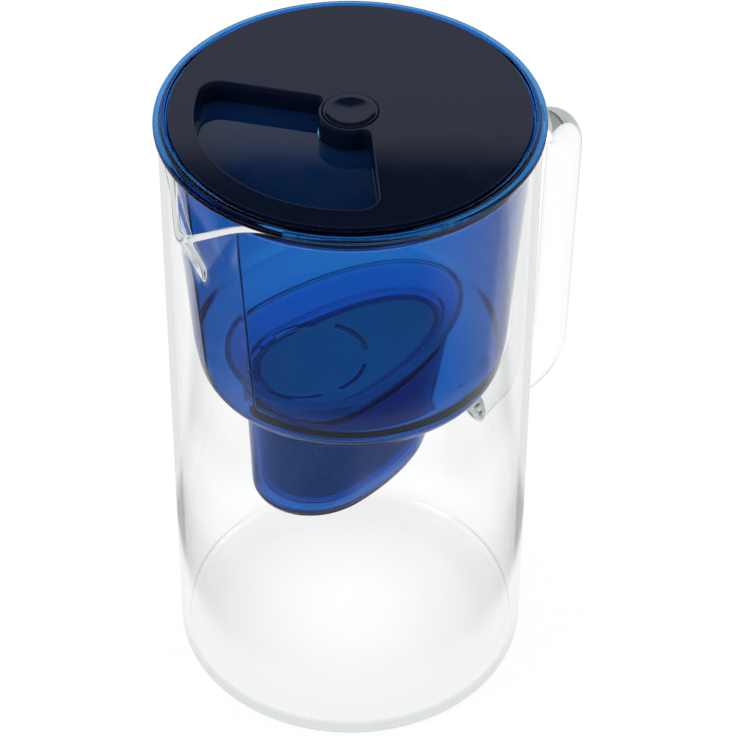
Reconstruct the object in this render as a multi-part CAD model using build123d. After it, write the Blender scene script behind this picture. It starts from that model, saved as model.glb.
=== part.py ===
from build123d import *
import math
import os

# Water filter pitcher: a straight glass jug with a pouring lip and a rod handle, a translucent
# hopper that hangs from the jug's rim, a filter cartridge that stands in the hopper's well, and
# a lid whose fan-shaped fill flap opens when the round button in the middle is pushed.
# Millimetres. +Z is up, the origin is the middle of the base, the pouring lip points to -X and
# the handle to +X.

# ---------------------------------------------------------------- driving dimensions: glass jug
jug_radius = 65.0
jug_wall = 2.5
jug_height = 238.0
jug_floor = 3.5
jug_foot_round = 1.8
jug_inner_round = 5.0
jug_rim_round = 0.8

lip_reach = 9.7
lip_drop = 12.5
lip_half_width = 18.6
lip_rise = 20.5
lip_nose_round = 4.0
lip_blend = 8.0
lip_mouth_round = 14.0
lip_mouth_back = 2.0

handle_rod = 6.5
handle_top = 191.0
handle_bottom = 72.0
handle_reach_top = 38.2
handle_reach_bottom = 35.4
handle_bend = 15.0
handle_foot_radius = 9.0
handle_foot_length = 7.0
handle_seam = 0.05

# ---------------------------------------------------------------- driving dimensions: hopper
hopper_wall = 2.0
hopper_gap = 0.4
hopper_floor_z = 134.0
hopper_base_radius = 54.7
hopper_base_round = 10.0
flange_overhang = 1.5
flange_height = 3.2
flange_edge_round = 1.1
bead_inset = 3.2
bead_half_width = 0.8
bead_height = 0.6
seal_rib_drop = 4.5
seal_rib_half = 0.9
seal_rib_land = 0.5
seal_rib_proud = 0.2
ledge_drop = 1.2
ledge_width = 1.7
flat_depth = 1.55

# The well and the cartridge are egg-shaped in plan: two half ellipses that share their widest
# line, the short one toward the pouring lip and the long one toward the handle.
mouth_x = -16.5
mouth_nose = 24.0
mouth_tail = 60.0
mouth_half = 26.0
well_foot_x = -15.0
well_foot_nose = 25.5
well_foot_tail = 48.0
well_foot_half = 22.3
well_bottom_z = 83.0
well_collar = 6.0
well_foot_round = 4.0
well_root_round = 1.0
drain_radius = 2.0
drain_count = 6
drain_pitch = 9.0

# ---------------------------------------------------------------- driving dimensions: cartridge
cartridge_gap = 1.6
cartridge_wall = 1.6
cartridge_foot_gap = 2.5
cap_height = 11.5
cap_flare = 6.5
cap_wall = 1.8
cap_flange = 1.4
bowl_x = -18.0
bowl_nose = 18.4
bowl_tail = 17.0
bowl_half = 14.6
bowl_floor_rise = 5.5
inlet_slot_offset = 2.6
inlet_slot_width = 1.6
inlet_bridge = 7.0
inlet_bridge_count = 5
seal_height = 3.0
seal_drop = 2.0
seal_squeeze_gap = 0.15
seal_fit = 0.05
pad_thickness = 2.0
pad_drop = 0.6
foot_screen_thickness = 1.2
filling_gap = 0.3
outlet_slot_width = 1.8
outlet_slot_pitch = 5.0
outlet_slot_count = 7

# ---------------------------------------------------------------- driving dimensions: lid
lid_thickness = 2.0
lid_edge_gap = 0.4
lid_edge_round = 0.5
skirt_depth = 7.5
skirt_wall = 1.8
skirt_gap = 0.5
fan_margin = 8.9
fan_half_angle = 54.0
fan_side_offset = 6.0
fan_outer_round = 7.0
fan_inner_round = 3.0
fan_wall = 1.6
fan_depth = 8.0
boss_wall = 1.1
boss_depth = 13.0

button_radius = 9.3
button_gap = 0.3
button_proud = 0.6
button_travel = 4.0
button_top = 2.0
button_skirt = 1.5
button_skirt_length = 6.6
button_edge_round = 0.6
stem_radius = 3.0
blade_thickness = 3.0
blade_gap = 0.2
web_thickness = 2.0

spring_wire = 0.4
spring_radius = 5.5
spring_turns = 4.5
spring_seat_gap = 0.03

flap_thickness = 2.0
flap_lap = 1.3
flap_seat_gap = 0.3
flap_boss_gap = 0.4
flap_riser = 3.0
hinge_drop = 3.0
hinge_reach = 8.0
hinge_pin_radius = 1.25
hinge_pin_fit = 0.02
hinge_running_fit = 0.08
ear_radius = 2.5
ear_gap = 0.4
ear_thickness = 2.1
lug_gap = 0.3
lug_thickness = 2.5
lug_width = 5.0
link_pin_radius = 1.0
link_slot_gap = 0.2
link_slot_wall = 1.4

# ---------------------------------------------------------------- sizes that follow from these
jug_bore = jug_radius - jug_wall
flange_radius = jug_radius + flange_overhang
flange_top_z = jug_height + flange_height
neck_radius = jug_bore - hopper_gap
bead_radius = flange_radius - bead_inset
ledge_z = flange_top_z - ledge_drop
lid_recess_radius = neck_radius - hopper_wall + ledge_width
lid_radius = lid_recess_radius - lid_edge_gap
fan_radius = lid_radius - fan_margin
lid_top_z = ledge_z + lid_thickness
hopper_inner_floor_z = hopper_floor_z + hopper_wall
collar_z = hopper_floor_z - well_collar
well_floor_z = well_bottom_z + hopper_wall
shell_bottom_z = well_floor_z + cartridge_foot_gap
shell_floor_z = shell_bottom_z + cartridge_wall
shell_grow = -hopper_wall - cartridge_gap
shell_bore_grow = shell_grow - cartridge_wall
cap_top_z = hopper_inner_floor_z + cap_height
bowl_floor_z = hopper_inner_floor_z + bowl_floor_rise
pad_top_z = hopper_inner_floor_z - pad_drop
filling_top_z = pad_top_z - pad_thickness
filling_bottom_z = shell_floor_z + foot_screen_thickness

boss_bore = button_radius + button_gap
boss_radius = boss_bore + boss_wall
fan_foot_z = lid_top_z - fan_depth
flap_top_z = fan_foot_z - flap_seat_gap
web_z = lid_top_z - boss_depth
web_top_z = web_z + web_thickness
hinge_z = web_z - hinge_drop
button_top_z = lid_top_z + button_proud
button_under_z = button_top_z - button_top
flap_angle = math.degrees(math.asin(button_travel / hinge_reach))
link_shift = hinge_reach * (1 - math.cos(math.radians(flap_angle)))
blade_back = -(link_pin_radius + link_slot_gap + link_slot_wall)
blade_front = link_shift + link_pin_radius + link_slot_gap + link_slot_wall
blade_foot_z = hinge_z - link_pin_radius - link_slot_gap - link_slot_wall
ear_inner_y = blade_thickness / 2 + ear_gap
ear_outer_y = ear_inner_y + ear_thickness
lug_inner_y = ear_outer_y + lug_gap
lug_outer_y = lug_inner_y + lug_thickness
far = 3 * jug_radius
cut_past = 1.0
same_level = 0.01


def up(z):
    return Pos(0, 0, z)


def drum(radius, z_low, z_high):
    return up(z_low) * Cylinder(radius, z_high - z_low, align=(Align.CENTER, Align.CENTER, Align.MIN))


def block(x_low, x_high, y_low, y_high, z_low, z_high):
    middle = Pos((x_low + x_high) / 2, (y_low + y_high) / 2, (z_low + z_high) / 2)
    return middle * Box(x_high - x_low, y_high - y_low, z_high - z_low)


def side_plate(points, y_low, y_high):
    # a flat outline drawn in the X-Z plane, given its thickness along Y
    face = make_face(Polyline([(x, 0, z) for x, z in points], close=True))
    return Pos(0, y_low, 0) * extrude(face, y_high - y_low, dir=(0, 1, 0))


def cross_rod(radius, x, z, y_low, y_high):
    rod = Cylinder(radius, y_high - y_low)
    return Pos(x, (y_low + y_high) / 2, z) * Rot(90, 0, 0) * rod


# ---------------------------------------------------------------- glass jug
lip_shear = lip_reach / lip_rise
lip_corner_x = -math.sqrt(jug_radius**2 - lip_half_width**2)
lip_tip_x = -(jug_radius + lip_reach)
lip_front_at_rim = lip_tip_x - lip_shear * lip_drop
lip_half_angle = math.atan(lip_half_width / (lip_corner_x - lip_front_at_rim))
lip_round_loss = lip_nose_round * (1 / math.sin(lip_half_angle) - 1)
lip_apex_at_rim = lip_front_at_rim - lip_round_loss


def lip_solid(inset):
    # a V in plan that leans outward as it rises, so it grows out of the straight wall
    apex = lip_apex_at_rim + inset / math.sin(lip_half_angle)
    back = -jug_radius / 2
    half = (back - apex) * math.tan(lip_half_angle)
    vee = make_face(Polyline((apex, 0), (back, half), (back, -half), close=True))
    nose = vee.vertices().sort_by(Axis.X)[0]
    vee = fillet(nose, lip_nose_round)
    drop = lip_drop + lip_rise + jug_foot_round
    lean = Vector(lip_shear, 0, -1)
    return extrude(up(jug_height) * vee, amount=drop * lean.length, dir=lean.normalized())


def lip_trim():
    # everything above the mouth of the lip, which slants down from the rim to the tip
    corner_x = lip_corner_x + lip_mouth_back
    slant = math.atan2(lip_drop, corner_x - lip_tip_x)
    reach = lip_mouth_round * math.tan(slant / 2)
    centre = Vector(corner_x + reach, 0, jug_height - lip_mouth_round)
    level = centre + Vector(0, 0, lip_mouth_round)
    middle = centre + Vector(-math.sin(slant / 2), 0, math.cos(slant / 2)) * lip_mouth_round
    tilted = centre + Vector(-math.sin(slant), 0, math.cos(slant)) * lip_mouth_round
    low = tilted + Vector(-math.cos(slant), 0, -math.sin(slant)) * far
    profile = [
        ThreePointArc(level, middle, tilted),
        Polyline(tilted, low, (low.X, 0, jug_height + far), (level.X, 0, jug_height + far), level),
    ]
    return Pos(0, -far, 0) * extrude(make_face(profile), 2 * far, dir=(0, 1, 0))


def with_lip(jug, inset):
    # the lip joined to the wall, with a soft blend where the two meet
    joined = jug + lip_solid(inset)
    foot_z = jug_height - lip_drop - lip_rise - lip_blend / 2
    root = joined.edges().filter_by(GeomType.LINE, reverse=True)
    root = root.filter_by_position(Axis.Z, foot_z, jug_height - jug_wall)
    root = root.filter_by_position(Axis.X, -jug_radius, -jug_radius + lip_blend)
    return fillet(root, lip_blend + inset)


def make_glass_body():
    outside = drum(jug_radius, 0, jug_height)
    outside = fillet(outside.edges().group_by(Axis.Z)[0], jug_foot_round)
    inside = drum(jug_bore, jug_floor, jug_height)
    inside = fillet(inside.edges().group_by(Axis.Z)[0], jug_inner_round)
    body = with_lip(outside, 0) - with_lip(inside, jug_wall) - lip_trim()
    rim = body.faces().filter_by(Axis.Z).sort_by(Axis.Z)[-1]
    return fillet(rim.edges().filter_by(GeomType.CIRCLE), jug_rim_round)


def make_glass_handle():
    top_x = jug_radius + handle_reach_top
    bottom_x = jug_radius + handle_reach_bottom
    root_x = jug_bore
    route = FilletPolyline(
        (root_x, 0, handle_top),
        (top_x, 0, handle_top),
        (bottom_x, 0, handle_bottom),
        (root_x, 0, handle_bottom),
        radius=handle_bend,
    )
    rod = sweep(Plane(route @ 0, z_dir=route % 0) * Circle(handle_rod), path=route)
    foot_end_x = jug_radius + handle_foot_length
    foot = Cone(handle_foot_radius, handle_rod, foot_end_x - root_x)
    for z in (handle_top, handle_bottom):
        rod += Pos((root_x + foot_end_x) / 2, 0, z) * Rot(0, 90, 0) * foot
    return rod - drum(jug_radius + handle_seam, 0, jug_height)


# ---------------------------------------------------------------- egg-shaped sections
def egg(x, nose, tail, half, z):
    front = EllipticalCenterArc((x, 0), nose, half, start_angle=90, arc_size=180)
    back = EllipticalCenterArc((x, 0), tail, half, start_angle=-90, arc_size=180)
    return up(z) * make_face([front, back])


def well_section(z, grow):
    # the well's outer outline at this height, moved outward by grow
    share = max(0.0, (collar_z - z) / (collar_z - well_bottom_z))

    def between(top, foot):
        return top + (foot - top) * share

    x = between(mouth_x, well_foot_x)
    nose = between(mouth_nose, well_foot_nose) + grow
    tail = between(mouth_tail, well_foot_tail) + grow
    half = between(mouth_half, well_foot_half) + grow
    return egg(x, nose, tail, half, z)


def well_plug(z_low, z_high, grow):
    # a solid that fills the well's outline, tapered below the collar and straight above it
    if z_low >= collar_z:
        return extrude(well_section(z_low, grow), z_high - z_low)
    taper_top = min(z_high, collar_z)
    taper = loft([well_section(z_low, grow), well_section(taper_top, grow)], ruled=True)
    if z_high <= collar_z:
        return taper
    return taper + extrude(well_section(collar_z, grow), z_high - collar_z)


# ---------------------------------------------------------------- hopper
def hopper_radius(z):
    # outer radius of the tapered wall
    share = (jug_height - z) / (jug_height - hopper_floor_z)
    return neck_radius - (neck_radius - hopper_base_radius) * share


def flat_side(shift):
    # what lies beyond the flat that faces the pouring lip, moved inward by shift
    low = hopper_floor_z - hopper_wall
    top_x = -(neck_radius - flat_depth) + shift
    low_x = -(hopper_radius(low) - flat_depth) + shift
    return side_plate([(top_x, jug_height), (low_x, low), (-far, low), (-far, jug_height)], -far, far)


def flange_ring():
    edge = flange_edge_round
    top = flange_top_z - bead_height
    bead_in = bead_radius - bead_half_width
    bead_out = bead_radius + bead_half_width
    under = (flange_radius - edge, jug_height)
    side_low = (flange_radius, jug_height + edge)
    side_high = (flange_radius, top - edge)
    over = (flange_radius - edge, top)
    corner = edge * (1 - math.sqrt(0.5))
    profile = [
        Polyline((neck_radius - hopper_wall, jug_height), under),
        ThreePointArc(under, (flange_radius - corner, jug_height + corner), side_low),
        Line(side_low, side_high),
        ThreePointArc(side_high, (flange_radius - corner, top - corner), over),
        Line(over, (bead_out, top)),
        ThreePointArc((bead_out, top), (bead_radius, flange_top_z), (bead_in, top)),
        Polyline(
            (bead_in, top),
            (lid_recess_radius, top),
            (lid_recess_radius, ledge_z),
            (neck_radius - hopper_wall, ledge_z),
            (neck_radius - hopper_wall, jug_height),
        ),
    ]
    return revolve(Plane.XZ * make_face(profile), Axis.Z)


def seal_rib():
    # low bead round the neck that closes the gap to the glass
    z = jug_height - seal_rib_drop
    reach = neck_radius + seal_rib_proud
    side = hopper_radius(z)
    root = side - hopper_wall / 2
    high = z + seal_rib_half
    low = z - seal_rib_half
    land = seal_rib_land / 2
    corners = [(root, low), (side, low), (reach, z - land), (reach, z + land), (side, high), (root, high)]
    return revolve(Plane.XZ * make_face(Polyline(corners, close=True)), Axis.Z)


def tapered_tub(low_z, shrink, corner):
    low_radius = hopper_radius(low_z) - shrink
    top_radius = neck_radius - shrink
    corners = [(0, low_z), (low_radius, low_z), (top_radius, jug_height), (0, jug_height)]
    outline = Polyline(corners, close=True)
    tub = revolve(Plane.XZ * make_face(outline), Axis.Z)
    return fillet(tub.edges().filter_by(GeomType.CIRCLE).sort_by(Axis.Z)[0], corner)


def make_hopper():
    outside = tapered_tub(hopper_floor_z, 0, hopper_base_round) + seal_rib() - flat_side(0)
    well = well_plug(well_bottom_z, hopper_inner_floor_z, 0)
    well = fillet(well.edges().group_by(Axis.Z)[0], well_foot_round)
    outside = outside + well
    low, high = hopper_floor_z - same_level, hopper_floor_z + same_level
    root = outside.edges().filter_by_position(Axis.Z, low, high).filter_by(GeomType.CIRCLE, reverse=True)
    outside = fillet(root, well_root_round)
    inner_round = hopper_base_round - hopper_wall
    inside = tapered_tub(hopper_inner_floor_z, hopper_wall, inner_round) - flat_side(hopper_wall)
    hollow = well_plug(well_floor_z, hopper_inner_floor_z + hopper_wall, -hopper_wall)
    hopper = outside - inside - hollow + flange_ring()
    middle = well_foot_x + (well_foot_tail - well_foot_nose) / 2
    for index in range(drain_count):
        x = middle + (index - (drain_count - 1) / 2) * drain_pitch
        hopper -= Pos(x, 0, 0) * drum(drain_radius, well_bottom_z - cut_past, well_floor_z + cut_past)
    return hopper


# ---------------------------------------------------------------- cartridge
def make_cartridge_shell():
    shell = well_plug(shell_bottom_z, hopper_inner_floor_z, shell_grow)
    shell -= well_plug(shell_floor_z, hopper_inner_floor_z + cartridge_wall, shell_bore_grow)
    middle = well_foot_x + (well_foot_tail - well_foot_nose) / 2
    reach = well_foot_half + shell_bore_grow - outlet_slot_pitch / 2
    for index in range(outlet_slot_count):
        x = middle + (index - (outlet_slot_count - 1) / 2) * outlet_slot_pitch
        half = outlet_slot_width / 2
        low, high = shell_bottom_z - cut_past, shell_floor_z + cut_past
        shell -= block(x - half, x + half, -reach / 2, reach / 2, low, high)
    return shell


def bowl_section(z, grow):
    return egg(bowl_x, bowl_nose + grow, bowl_tail + grow, bowl_half + grow, z)


def make_cartridge_cap():
    low_z = hopper_inner_floor_z
    outside = loft([well_section(low_z, 0), well_section(cap_top_z, cap_flare)], ruled=True)
    hollow = loft(
        [well_section(low_z, -cap_wall), well_section(cap_top_z, cap_flare - cap_wall)], ruled=True
    )
    bowl_outside = loft(
        [bowl_section(bowl_floor_z - cap_wall, cap_wall), well_section(cap_top_z, cap_flare)], ruled=True
    )
    bowl = loft([bowl_section(bowl_floor_z, 0), well_section(cap_top_z, cap_flare - cap_wall)], ruled=True)
    flange = extrude(well_section(low_z, 0), cap_flange)
    flange -= extrude(well_section(low_z, shell_bore_grow), cap_flange)
    cap = (outside - hollow) + (bowl_outside & outside) + (flange & outside)
    cap = cap - bowl
    return cap - inlet_slots()


def inlet_slots():
    # curved slots that follow the bowl's floor, parted by bridges
    inner = bowl_section(0, inlet_slot_offset)
    outer = bowl_section(0, inlet_slot_offset + inlet_slot_width)
    ring = extrude(outer, cap_top_z) - extrude(inner, cap_top_z)
    for index in range(inlet_bridge_count):
        turn = 360 / inlet_bridge_count * (index + 0.5)
        bridge = block(0, far, -inlet_bridge / 2, inlet_bridge / 2, 0, cap_top_z)
        ring -= Pos(bowl_x, 0, 0) * Rot(0, 0, turn) * bridge
    return ring


def make_cartridge_seal():
    high_z = hopper_inner_floor_z - seal_drop
    low_z = high_z - seal_height
    outside = well_plug(low_z, high_z, -hopper_wall - seal_squeeze_gap)
    return outside - well_plug(low_z - cut_past, high_z + cut_past, shell_grow + seal_fit)


def make_inlet_pad():
    return well_plug(filling_top_z, pad_top_z, shell_bore_grow - filling_gap)


def make_filter_filling():
    return well_plug(filling_bottom_z, filling_top_z, shell_bore_grow - filling_gap)


def make_outlet_screen():
    return well_plug(shell_floor_z, filling_bottom_z, shell_bore_grow - filling_gap)


# ---------------------------------------------------------------- lid
def fan(grow, inner_radius):
    # the fan-shaped pocket in plan, moved outward by grow, cut back to a circle round the button
    half_angle = math.radians(fan_half_angle)
    apex = (fan_side_offset + grow) / math.sin(half_angle)
    back = apex - far * math.cos(half_angle)
    half = far * math.sin(half_angle)
    wedge = make_face(Polyline((apex, 0), (back, half), (back, -half), close=True))
    face = (wedge & Circle(fan_radius + grow)) - Circle(inner_radius)
    corners = face.vertices().sort_by(Axis.X)
    face = fillet(corners[:2], fan_outer_round + grow)
    corners = face.vertices().sort_by(lambda v: v.X**2 + v.Y**2)
    return fillet(corners[:2], fan_inner_round)


def make_lid_cover():
    disc = drum(lid_radius, ledge_z, lid_top_z)
    disc = fillet(disc.edges().group_by(Axis.Z)[-1], lid_edge_round)
    skirt_foot_z = ledge_z - skirt_depth
    skirt_radius = neck_radius - hopper_wall - skirt_gap
    skirt_flat = hopper_wall + skirt_gap
    rim = drum(skirt_radius, skirt_foot_z, ledge_z) - flat_side(skirt_flat + hopper_taper_at(skirt_foot_z))
    bore = drum(skirt_radius - skirt_wall, skirt_foot_z, ledge_z)
    bore = bore - flat_side(skirt_flat + skirt_wall + hopper_taper_at(skirt_foot_z))
    lid = disc + (rim - bore)
    lid += up(fan_foot_z) * extrude(fan(fan_wall, boss_radius - fan_wall), ledge_z - fan_foot_z)
    lid += drum(boss_radius, web_z, ledge_z)
    lid -= up(fan_foot_z) * extrude(fan(0, boss_radius), fan_depth + cut_past)
    lid -= drum(boss_bore, web_top_z, lid_top_z + cut_past)
    slot_y = blade_thickness / 2 + blade_gap
    slot_back, slot_front = blade_back - blade_gap, blade_front + blade_gap
    lid -= block(slot_back, slot_front, -slot_y, slot_y, web_z - cut_past, button_under_z)
    for side in (-1, 1):
        lid += hinge_lug(side)
    return lid


def hopper_taper_at(z):
    # how far the tapered wall has drawn in at this height
    return neck_radius - hopper_radius(z)


def hinge_lug(side):
    low, high = sorted((side * lug_inner_y, side * lug_outer_y))
    half = lug_width / 2
    lug = block(hinge_reach - half, hinge_reach + half, low, high, hinge_z, web_z)
    lug += cross_rod(half, hinge_reach, hinge_z, low, high)
    return lug - cross_rod(hinge_pin_radius + hinge_pin_fit, hinge_reach, hinge_z, low, high)


def make_push_button():
    cap = drum(button_radius, button_top_z - button_skirt_length, button_top_z)
    cap = fillet(cap.edges().group_by(Axis.Z)[-1], button_edge_round)
    cap -= drum(button_radius - button_skirt, button_top_z - button_skirt_length, button_under_z)
    shoulder_z = web_top_z + button_travel + blade_gap
    stem = drum(stem_radius, shoulder_z, button_under_z)
    half = blade_thickness / 2
    blade = block(blade_back, blade_front, -half, half, blade_foot_z, shoulder_z)
    slot = block(
        -link_pin_radius - link_slot_gap,
        link_shift + link_pin_radius + link_slot_gap,
        -blade_thickness,
        blade_thickness,
        hinge_z - link_pin_radius - link_slot_gap,
        hinge_z + link_pin_radius + link_slot_gap,
    )
    head = block(blade_back, blade_front, -half, half, shoulder_z, shoulder_z + blade_thickness)
    return cap + stem + head + blade - slot


def helix_point(turns, rise):
    angle = 2 * math.pi * turns
    return Vector(spring_radius * math.cos(angle), spring_radius * math.sin(angle), rise * turns)


def helix_direction(turns, rise):
    angle = 2 * math.pi * turns
    round_speed = 2 * math.pi * spring_radius
    return Vector(-round_speed * math.sin(angle), round_speed * math.cos(angle), rise).normalized()


def two_arcs(start, start_direction, end, end_direction):
    # two arcs that leave start and reach end in the given directions and flow into each other
    chord = end - start
    both = start_direction + end_direction
    spread = 2 * (1 - start_direction.dot(end_direction))
    along = chord.dot(both)
    reach = (math.sqrt(along**2 + spread * chord.dot(chord)) - along) / spread
    middle = (start + start_direction * reach + end - end_direction * reach) / 2
    first = TangentArc(start, middle, tangent=start_direction)
    return [first, TangentArc(middle, end, tangent=first % 1)]


def least_gap(line):
    # the least space between the spring's turns, measured on points along its wire
    steps_per_turn = 36
    steps = round(steps_per_turn * spring_turns)
    points = [line @ (step / steps) for step in range(steps + 1)]
    apart = steps_per_turn // 2
    pairs = ((first, second) for first in range(steps + 1) for second in range(first + apart, steps + 1))
    return min((points[first] - points[second]).length for first, second in pairs) - 2 * spring_wire


def make_button_spring():
    # each half turn of the coil is two arcs, so the wire is one unbroken tube of plain round bends
    low_z = web_top_z + spring_wire + spring_seat_gap
    high_z = button_under_z - spring_wire - spring_seat_gap
    rise = (high_z - low_z) / spring_turns
    arcs = []
    for half_turn in range(round(2 * spring_turns)):
        start, end = half_turn / 2, (half_turn + 1) / 2
        directions = helix_direction(start, rise), helix_direction(end, rise)
        arcs += two_arcs(helix_point(start, rise), directions[0], helix_point(end, rise), directions[1])
    line = Wire(arcs)
    print(f"button spring: {spring_turns} turns, least gap to itself {least_gap(line):.2f} mm")
    return up(low_z) * sweep(Plane(line @ 0, z_dir=line % 0) * Circle(spring_wire), path=line)


def make_fill_flap():
    # a plate under the pocket, and two bent arms that pass below the button's boss to the hinge
    inner_radius = boss_radius + flap_boss_gap
    plate = up(flap_top_z - flap_thickness) * extrude(fan(flap_lap, inner_radius), flap_thickness)
    riser_back = -inner_radius - flap_riser
    arm_low, arm_high = hinge_z - flap_thickness / 2, hinge_z + flap_thickness / 2
    for side in (-1, 1):
        low, high = sorted((side * ear_inner_y, side * ear_outer_y))
        plate += block(riser_back, -inner_radius, low, high, arm_low, flap_top_z)
        plate += block(riser_back, hinge_reach, low, high, arm_low, arm_high)
        link_boss = cross_rod(link_pin_radius + flap_seat_gap, 0, hinge_z, low, high)
        plate += link_boss + cross_rod(ear_radius, hinge_reach, hinge_z, low, high)
    plate += cross_rod(link_pin_radius, 0, hinge_z, -ear_outer_y, ear_outer_y)
    return plate - cross_rod(hinge_pin_radius + hinge_running_fit, hinge_reach, hinge_z, -far, far)


def make_hinge_pin():
    return cross_rod(hinge_pin_radius, hinge_reach, hinge_z, -lug_outer_y, lug_outer_y)


NODES = {
    "glass_body": make_glass_body,
    "glass_handle": make_glass_handle,
    "hopper": make_hopper,
    "cartridge_shell": make_cartridge_shell,
    "cartridge_cap": make_cartridge_cap,
    "cartridge_seal": make_cartridge_seal,
    "inlet_pad": make_inlet_pad,
    "filter_filling": make_filter_filling,
    "outlet_screen": make_outlet_screen,
    "lid_cover": make_lid_cover,
    "push_button": make_push_button,
    "button_spring": make_button_spring,
    "fill_flap": make_fill_flap,
    "flap_hinge_pin": make_hinge_pin,
}

os.makedirs("parts", exist_ok=True)
for name, make in NODES.items():
    shape = make()
    export_step(shape, f"parts/{name}.step")
print(f"flap opens {flap_angle:.1f} degrees over {button_travel} mm of button travel")
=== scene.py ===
# %% [markdown]
# # A glass water filter pitcher
# The pitcher is a straight glass jug with a pinched pouring lip and a glass rod for a handle. A blue, see-through
# hopper hangs in it and holds the filter cartridge. A near-black lid closes the hopper. Its round button opens a
# flap at the foot of a fan-shaped pocket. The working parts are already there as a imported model, and this lesson
# dresses them: it makes each piece that shows again with fine, smooth surfaces and gives every piece its finish.

# %% Load the working model
import math
import bmesh
import bpy
from mathutils import Matrix, Vector


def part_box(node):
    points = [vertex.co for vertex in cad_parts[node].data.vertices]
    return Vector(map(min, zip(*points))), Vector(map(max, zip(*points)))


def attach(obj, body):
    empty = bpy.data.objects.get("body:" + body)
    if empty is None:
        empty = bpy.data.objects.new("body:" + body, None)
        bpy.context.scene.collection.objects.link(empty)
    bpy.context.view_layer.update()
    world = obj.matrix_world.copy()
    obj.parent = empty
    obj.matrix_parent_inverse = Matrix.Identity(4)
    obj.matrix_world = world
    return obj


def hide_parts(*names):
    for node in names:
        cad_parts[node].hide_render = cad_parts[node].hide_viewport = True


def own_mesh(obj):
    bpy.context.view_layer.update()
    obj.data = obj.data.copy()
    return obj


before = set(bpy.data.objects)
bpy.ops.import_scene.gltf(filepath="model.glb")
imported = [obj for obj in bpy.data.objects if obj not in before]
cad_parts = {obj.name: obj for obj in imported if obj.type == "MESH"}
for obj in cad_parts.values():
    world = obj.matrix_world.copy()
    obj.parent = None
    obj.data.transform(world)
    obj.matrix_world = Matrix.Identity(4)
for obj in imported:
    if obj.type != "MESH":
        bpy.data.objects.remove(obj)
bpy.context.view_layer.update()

print("pieces in the working model:", len(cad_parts))

# %% [markdown]
# ## Millimetres in, metres out
# A designer thinks of such a jug in millimetres, and Blender's scene is in metres. Every shape below is drawn in
# millimetres and shrunk once, when its mesh is finished. The main sizes are read from the working model, so that
# each smooth piece lands on the solid that it stands for.

# %% Sizes read from the working model
MM = 0.001


def box_mm(node):
    """Lowest and highest corner of a working piece, in millimetres."""
    low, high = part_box(node)
    return low / MM, high / MM


jug_low, jug_high = box_mm("glass_body")
hopper_low, hopper_high = box_mm("hopper")
lid_high = box_mm("lid_cover")[1]
button_low, button_high = box_mm("push_button")
flap_high = box_mm("fill_flap")[1]
cap_low, cap_high = box_mm("cartridge_cap")
shell_low, shell_high = box_mm("cartridge_shell")
jug_radius = jug_high.y
jug_height = jug_high.z
print(f"jug: {2 * jug_radius:.0f} mm across, {jug_height:.0f} mm tall")

# %% [markdown]
# ## A stack of rings
# Most pieces here are round or egg-shaped in plan and change their outline as they rise: the jug, the hopper, the
# cartridge. One way to make them is to spin a profile, but a spin gives circles only. Here a straight post with one
# corner for each ring is spun into a plain tube, and then each ring is sent to its own outline. The faces stay neat
# four-sided strips, which matters on clear pieces, because a crease in the mesh shows in the glass.

# %% The ring stack
def face_outward(bm):
    bmesh.ops.recalc_face_normals(bm, faces=bm.faces[:])


def ring_stack(rings, count, close_ends=True, close_loop=False):
    """A tube whose rings follow the outlines in rings, each a function from the turn to a place in mm."""
    bm = bmesh.new()
    post = [bm.verts.new((1, 0, level)) for level in range(len(rings))]
    for low, high in zip(post, post[1:]):
        bm.edges.new((low, high))
    if close_loop:
        bm.edges.new((post[-1], post[0]))
    bmesh.ops.spin(bm, geom=bm.verts[:] + bm.edges[:], cent=(0, 0, 0), axis=(0, 0, 1), angle=math.tau,
                   steps=count, use_merge=True, use_duplicate=False)
    levels = {corner: round(corner.co.z) for corner in bm.verts}
    for corner, level in levels.items():
        corner.co = rings[level](math.atan2(corner.co.y, corner.co.x))
    if close_ends:
        for end in (0, len(rings) - 1):
            rim = [edge for edge in bm.edges if all(levels[corner] == end for corner in edge.verts)]
            bmesh.ops.contextual_create(bm, geom=rim)
    face_outward(bm)
    return bm


def arc_points(centre, radius, start, end, steps):
    """Points along an arc in a flat drawing, from the angle start to the angle end in degrees."""
    turns = [math.radians(start + (end - start) * step / steps) for step in range(steps + 1)]
    return [(centre[0] + radius * math.cos(t), centre[1] + radius * math.sin(t)) for t in turns]


def spread(low, high, steps):
    """Even steps from low to high, both ends included."""
    return [low + (high - low) * step / steps for step in range(steps + 1)]


# %% Turn a drawn shape into a piece of the pitcher
level_normal = 0.99999


def finished_mesh(name, bm):
    mesh = bpy.data.meshes.new(name)
    bm.to_mesh(mesh)
    bm.free()
    return mesh


def add_object(name, data):
    """Puts a mesh, a lamp or a camera into the scene."""
    thing = bpy.data.objects.new(name, data)
    bpy.context.scene.collection.objects.link(thing)
    return thing


def make_piece(name, bm, body, material, nodes, crease=40):
    """Shrinks the drawing to metres, shades it smooth up to the crease angle, hangs it on its body and hides the
    working pieces it replaces.

    Level faces stay flat-shaded. Smooth shading would bend what a large level face mirrors near its rounded edges.
    """
    bmesh.ops.scale(bm, vec=(MM, MM, MM), verts=bm.verts[:])
    mesh = finished_mesh(name, bm)
    mesh.shade_smooth()
    mesh.set_sharp_from_angle(angle=math.radians(crease))
    for face in mesh.polygons:
        if abs(face.normal.z) > level_normal:
            face.use_smooth = False
    mesh.materials.append(material)
    piece = add_object(name, mesh)
    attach(piece, body)
    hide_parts(*nodes)
    print(f"{name}: {len(mesh.polygons)} faces")


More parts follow.
